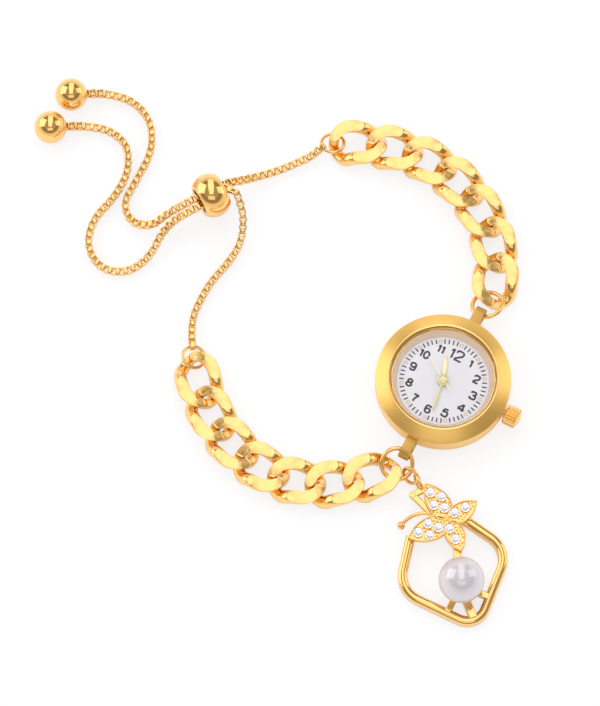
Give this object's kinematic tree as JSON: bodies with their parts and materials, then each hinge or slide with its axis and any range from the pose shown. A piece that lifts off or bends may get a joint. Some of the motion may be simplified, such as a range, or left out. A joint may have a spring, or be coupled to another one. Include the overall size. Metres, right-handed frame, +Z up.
{
  "type": "bracelet watch",
  "caption": "Quartz watch head on a curb chain band with a sliding box chain clasp and a pearl charm.",
  "frame": {"origin": "middle of the case back's outer face, which lies on the table", "axes": "+Z up through the dial, +Y to 12 o'clock, +X to 3 o'clock and the crown"},
  "size_m": [0.116, 0.0795, 0.01],
  "materials": {
    "gold_plated_metal": "polished gold plating",
    "brushed_gold": "finely brushed gold plating",
    "mineral_glass": "clear",
    "white_dial": "matt white lacquer",
    "clear_stone": "faceted, clear",
    "pearl": "pearl lustre",
    "gasket_rubber": "matt",
    "movement_steel": "fine grained",
    "movement_brass": "turned",
    "copper_winding": "enamelled wire",
    "circuit_laminate": "solder mask",
    "holder_plastic": "moulded",
    "case_steel": "fine circular grain"
  },
  "bodies": {
    "watch_head": {"case_middle": "gold_plated_metal", "case_back": "case_steel", "back_gasket": "gasket_rubber", "bezel": "brushed_gold", "crystal": "mineral_glass", "crystal_gasket": "gasket_rubber", "dial": "white_dial", "dial_ring": "gold_plated_metal", "main_plate": "movement_steel", "movement_holder": "holder_plastic", "circuit_board": "circuit_laminate", "coil": "copper_winding", "stator": "movement_steel", "train_bridge": "movement_steel", "battery": "movement_steel", "battery_clamp": "movement_steel", "crown_tube": "movement_brass"},
    "stem_slider": {"setting_lever": "movement_steel"},
    "crown": {"crown": "gold_plated_metal", "stem": "movement_steel"},
    "seconds": {"seconds_wheel": "movement_brass", "second_hand": "gold_plated_metal"},
    "third": {"third_wheel": "movement_brass"},
    "centre": {"centre_wheel": "movement_brass", "minute_hand": "gold_plated_metal"},
    "minute_work": {"minute_wheel": "movement_brass"},
    "hours": {"hour_wheel": "movement_brass", "hour_hand": "gold_plated_metal"},
    "intermediate": {"intermediate_wheel": "movement_brass"},
    "rotor": {"rotor": "movement_steel"},
    "jump_ring_upper": {"jump_ring_upper": "gold_plated_metal"},
    "curb_link_upper_1": {"curb_link_upper_1": "gold_plated_metal"},
    "curb_link_upper_2": {"curb_link_upper_2": "gold_plated_metal"},
    "curb_link_upper_3": {"curb_link_upper_3": "gold_plated_metal"},
    "curb_link_upper_4": {"curb_link_upper_4": "gold_plated_metal"},
    "curb_link_upper_5": {"curb_link_upper_5": "gold_plated_metal"},
    "curb_link_upper_6": {"curb_link_upper_6": "gold_plated_metal"},
    "curb_link_upper_7": {"curb_link_upper_7": "gold_plated_metal"},
    "end_ring_upper": {"end_ring_upper": "gold_plated_metal"},
    "box_chain_upper": {"box_chain_upper": "gold_plated_metal", "box_chain_lower_tail": "gold_plated_metal", "end_ball_upper": "gold_plated_metal", "end_ball_lower": "gold_plated_metal"},
    "jump_ring_lower": {"jump_ring_lower": "gold_plated_metal"},
    "curb_link_lower_1": {"curb_link_lower_1": "gold_plated_metal"},
    "curb_link_lower_2": {"curb_link_lower_2": "gold_plated_metal"},
    "curb_link_lower_3": {"curb_link_lower_3": "gold_plated_metal"},
    "curb_link_lower_4": {"curb_link_lower_4": "gold_plated_metal"},
    "curb_link_lower_5": {"curb_link_lower_5": "gold_plated_metal"},
    "curb_link_lower_6": {"curb_link_lower_6": "gold_plated_metal"},
    "curb_link_lower_7": {"curb_link_lower_7": "gold_plated_metal"},
    "end_ring_lower": {"end_ring_lower": "gold_plated_metal"},
    "box_chain_lower": {"box_chain_lower_span": "gold_plated_metal"},
    "slider": {"slider_bead": "gold_plated_metal", "slider_grip": "gasket_rubber"},
    "charm_ring": {"charm_ring": "gold_plated_metal"},
    "charm": {"charm_frame": "gold_plated_metal", "charm_butterfly": "gold_plated_metal", "charm_stones": "clear_stone", "charm_pearl": "pearl"}
  },
  "joints": [
    {"name": "jump_ring_upper_swing", "type": "hinge", "parent": "watch_head", "child": "jump_ring_upper", "pos_m": [0, 0.01455, 0.0026], "axis": [-0.9903, 0.1392, 0], "range_deg": [-12, 12]},
    {"name": "curb_link_upper_1_hinge", "type": "hinge", "parent": "jump_ring_upper", "child": "curb_link_upper_1", "pos_m": [0.00004, 0.02006, 0.0016], "axis": [-0.9397, -0.342, 0], "range_deg": [-12, 12]},
    {"name": "curb_link_upper_2_hinge", "type": "hinge", "parent": "curb_link_upper_1", "child": "curb_link_upper_2", "pos_m": [-0.0019, 0.02539, 0.0016], "axis": [-0.788, -0.6157, 0], "range_deg": [-15, 15]},
    {"name": "curb_link_upper_3_hinge", "type": "hinge", "parent": "curb_link_upper_2", "child": "curb_link_upper_3", "pos_m": [-0.00612, 0.03079, 0.0016], "axis": [-0.5592, -0.829, 0], "range_deg": [-15, 15]},
    {"name": "curb_link_upper_4_hinge", "type": "hinge", "parent": "curb_link_upper_3", "child": "curb_link_upper_4", "pos_m": [-0.01179, 0.03462, 0.0016], "axis": [-0.342, -0.9397, 0], "range_deg": [-15, 15]},
    {"name": "curb_link_upper_5_hinge", "type": "hinge", "parent": "curb_link_upper_4", "child": "curb_link_upper_5", "pos_m": [-0.01823, 0.03696, 0.0016], "axis": [-0.0349, -0.9994, 0], "range_deg": [-15, 15]},
    {"name": "curb_link_upper_6_hinge", "type": "hinge", "parent": "curb_link_upper_5", "child": "curb_link_upper_6", "pos_m": [-0.02508, 0.0372, 0.0016], "axis": [0.225, -0.9744, 0], "range_deg": [-15, 15]},
    {"name": "curb_link_upper_7_hinge", "type": "hinge", "parent": "curb_link_upper_6", "child": "curb_link_upper_7", "pos_m": [-0.03175, 0.03566, 0.0016], "axis": [0.3907, -0.9205, 0], "range_deg": [-15, 15]},
    {"name": "end_ring_upper_hinge", "type": "hinge", "parent": "curb_link_upper_7", "child": "end_ring_upper", "pos_m": [-0.03909, 0.03255, 0.0016], "axis": [0.3907, -0.9205, 0], "range_deg": [-12, 12]},
    {"name": "box_chain_upper_hinge", "type": "hinge", "parent": "end_ring_upper", "child": "box_chain_upper", "pos_m": [-0.04051, 0.03089, 0.00183], "axis": [0.788, -0.6157, 0], "range_deg": [-12, 12]},
    {"name": "jump_ring_lower_swing", "type": "hinge", "parent": "watch_head", "child": "jump_ring_lower", "pos_m": [0, -0.01455, 0.0026], "axis": [-0.9848, 0.1736, 0], "range_deg": [-12, 12]},
    {"name": "curb_link_lower_1_hinge", "type": "hinge", "parent": "jump_ring_lower", "child": "curb_link_lower_1", "pos_m": [-0.00208, -0.01952, 0.0016], "axis": [-0.7314, 0.682, 0], "range_deg": [-12, 12]},
    {"name": "curb_link_lower_2_hinge", "type": "hinge", "parent": "curb_link_lower_1", "child": "curb_link_lower_2", "pos_m": [-0.00595, -0.02367, 0.0016], "axis": [-0.5446, 0.8387, 0], "range_deg": [-15, 15]},
    {"name": "curb_link_lower_3_hinge", "type": "hinge", "parent": "curb_link_lower_2", "child": "curb_link_lower_3", "pos_m": [-0.01169, -0.0274, 0.0016], "axis": [-0.2588, 0.9659, 0], "range_deg": [-15, 15]},
    {"name": "curb_link_lower_4_hinge", "type": "hinge", "parent": "curb_link_lower_3", "child": "curb_link_lower_4", "pos_m": [-0.01831, -0.02917, 0.0016], "axis": [0.0698, 0.9976, 0], "range_deg": [-15, 15]},
    {"name": "curb_link_lower_5_hinge", "type": "hinge", "parent": "curb_link_lower_4", "child": "curb_link_lower_5", "pos_m": [-0.02514, -0.0287, 0.0016], "axis": [0.3584, 0.9336, 0], "range_deg": [-15, 15]},
    {"name": "curb_link_lower_6_hinge", "type": "hinge", "parent": "curb_link_lower_5", "child": "curb_link_lower_6", "pos_m": [-0.03154, -0.02624, 0.0016], "axis": [0.5878, 0.809, 0], "range_deg": [-15, 15]},
    {"name": "curb_link_lower_7_hinge", "type": "hinge", "parent": "curb_link_lower_6", "child": "curb_link_lower_7", "pos_m": [-0.03708, -0.02221, 0.0016], "axis": [0.7547, 0.6561, 0], "range_deg": [-15, 15]},
    {"name": "end_ring_lower_hinge", "type": "hinge", "parent": "curb_link_lower_7", "child": "end_ring_lower", "pos_m": [-0.04231, -0.0162, 0.0016], "axis": [0.7547, 0.6561, 0], "range_deg": [-12, 12]},
    {"name": "box_chain_lower_hinge", "type": "hinge", "parent": "end_ring_lower", "child": "box_chain_lower", "pos_m": [-0.04358, -0.0144, 0.00149], "axis": [0.829, 0.5592, 0], "range_deg": [-12, 12]},
    {"name": "slider_travel", "type": "slide", "parent": "box_chain_upper", "child": "slider", "axis": [-0.5446, -0.8387, 0], "range_m": [0, 0.004]},
    {"name": "charm_ring_hinge", "type": "hinge", "parent": "jump_ring_lower", "child": "charm_ring", "pos_m": [0.00217, -0.01782, 0.0012], "axis": [0.2756, 0.9613, 0], "range_deg": [-15, 15]},
    {"name": "charm_hinge", "type": "hinge", "parent": "charm_ring", "child": "charm", "pos_m": [0.00308, -0.01808, 0.0015], "axis": [0.2756, 0.9613, 0], "range_deg": [-15, 15]},
    {"name": "stem_pull", "type": "slide", "parent": "watch_head", "child": "stem_slider", "axis": [1, 0, 0], "range_m": [0, 0.0006]},
    {"name": "crown_turn", "type": "hinge", "parent": "stem_slider", "child": "crown", "pos_m": [0, 0, 0.0028], "axis": [1, 0, 0], "continuous": true},
    {"name": "seconds_turn", "type": "hinge", "parent": "watch_head", "child": "seconds", "pos_m": [0, 0, 0], "axis": [0, 0, 1], "continuous": true},
    {"name": "third_wheel_turn", "type": "hinge", "parent": "watch_head", "child": "third", "pos_m": [0.00277, 0.0016, 0], "axis": [0, 0, 1], "continuous": true},
    {"name": "minute_wheel_turn", "type": "hinge", "parent": "watch_head", "child": "minute_work", "pos_m": [-0.00225, -0.00082, 0], "axis": [0, 0, 1], "continuous": true},
    {"name": "intermediate_wheel_turn", "type": "hinge", "parent": "watch_head", "child": "intermediate", "pos_m": [-0.0026, -0.0015, 0], "axis": [0, 0, 1], "continuous": true},
    {"name": "rotor_turn", "type": "hinge", "parent": "watch_head", "child": "rotor", "pos_m": [-0.00416, -0.0024, 0], "axis": [0, 0, 1], "continuous": true},
    {"name": "centre_wheel_turn", "type": "hinge", "parent": "watch_head", "child": "centre", "pos_m": [0, 0, 0], "axis": [0, 0, 1], "continuous": true},
    {"name": "hour_wheel_turn", "type": "hinge", "parent": "watch_head", "child": "hours", "pos_m": [0, 0, 0], "axis": [0, 0, 1], "continuous": true}
  ],
  "couplings": [
    {"joint": "third_wheel_turn", "follows": "seconds_turn", "ratio": -0.125},
    {"joint": "centre_wheel_turn", "follows": "seconds_turn", "ratio": 0.016667},
    {"joint": "minute_wheel_turn", "follows": "seconds_turn", "ratio": -0.0055556},
    {"joint": "hour_wheel_turn", "follows": "seconds_turn", "ratio": 0.0013889},
    {"joint": "intermediate_wheel_turn", "follows": "seconds_turn", "ratio": -6},
    {"joint": "rotor_turn", "follows": "seconds_turn", "ratio": 30}
  ]
}
